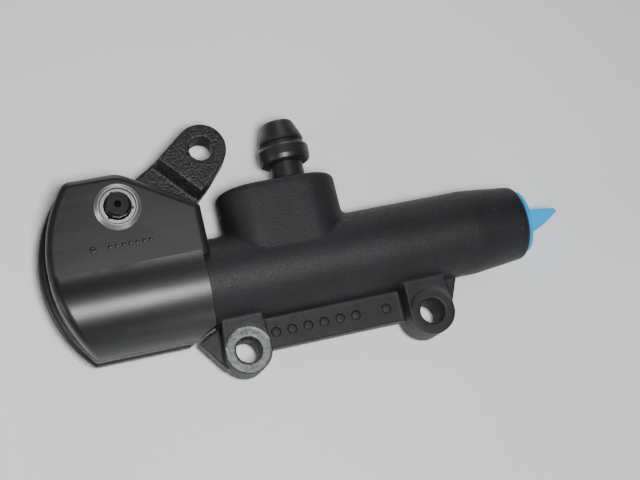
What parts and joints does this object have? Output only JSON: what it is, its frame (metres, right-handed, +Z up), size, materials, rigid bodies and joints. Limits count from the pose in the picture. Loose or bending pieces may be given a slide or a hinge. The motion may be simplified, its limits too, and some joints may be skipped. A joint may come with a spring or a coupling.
{
  "type": "brake master cylinder",
  "caption": "Motorcycle rear brake master cylinder: cast cylinder with side fixing ears, fluid inlet with dust cap, plugged outlet and an enclosed actuating lever with an eye.",
  "frame": {"origin": "midway between the two fixing holes, on the mounting face of the ears", "axes": "+X along the cylinder towards the outlet, +Y towards the fluid inlet, +Z up along the fixing holes, away from the bracket"},
  "size_m": [0.1408, 0.0677, 0.0286],
  "materials": {
    "body_casting": "matte black powder-like coating over a fine sand-cast grain",
    "cover_plastic": "satin black moulded plastic",
    "dark_steel": "blackened steel",
    "zinc_steel": "bright zinc plate",
    "plain_steel": "bright ground steel",
    "lever_iron": "rough black forging, oiled",
    "bronze": "sintered bronze",
    "soft_rubber": "black rubber",
    "piston_alloy": "hard anodised alloy",
    "moulded_nylon": "black moulded nylon",
    "cap_rubber": "black semi-gloss dust cap",
    "plug_plastic": "light blue soft plastic"
  },
  "bodies": {
    "cylinder": {"cylinder_body": "body_casting", "cover_upper_shell": "cover_plastic", "cover_lower_shell": "cover_plastic", "pivot_pin": "dark_steel", "pivot_lock_washer": "zinc_steel", "pivot_washer_lower": "zinc_steel", "thrust_shims": "plain_steel", "snap_ring": "dark_steel", "stop_washer": "plain_steel", "dust_boot": "soft_rubber", "return_spring": "plain_steel", "inlet_nipple": "moulded_nylon", "inlet_grommet": "soft_rubber"},
    "lever": {"lever": "lever_iron", "pivot_bush": "bronze"},
    "piston": {"piston": "piston_alloy", "push_rod": "plain_steel", "push_rod_pad": "plain_steel", "push_rod_nut": "zinc_steel", "primary_cup": "soft_rubber", "secondary_cup": "soft_rubber", "cup_shim": "plain_steel", "spring_seat": "moulded_nylon"},
    "inlet_cap": {"inlet_cap": "cap_rubber"},
    "outlet_plug": {"outlet_plug": "plug_plastic"}
  },
  "joints": [
    {"name": "lever_pivot", "type": "hinge", "parent": "cylinder", "child": "lever", "pos_m": [-0.0506, 0.0412, 0.0085], "axis": [0, 0, 1], "range_deg": [0, 22], "stiffness_Nm_per_rad": 2.2, "springref_deg": -11.46},
    {"name": "piston_slide", "type": "slide", "parent": "cylinder", "child": "piston", "axis": [1, 0, 0], "range_m": [0, 0.0084], "deforming": ["return_spring", "dust_boot"]},
    {"name": "inlet_cap_pull", "type": "slide", "parent": "cylinder", "child": "inlet_cap", "axis": [0, 1, 0], "range_m": [0, 0.012]},
    {"name": "outlet_plug_pull", "type": "slide", "parent": "cylinder", "child": "outlet_plug", "axis": [1, 0, 0], "range_m": [0, 0.012]}
  ],
  "couplings": [
    {"joint": "piston_slide", "follows": "lever_pivot", "m_per_rad": 0.0217}
  ]
}
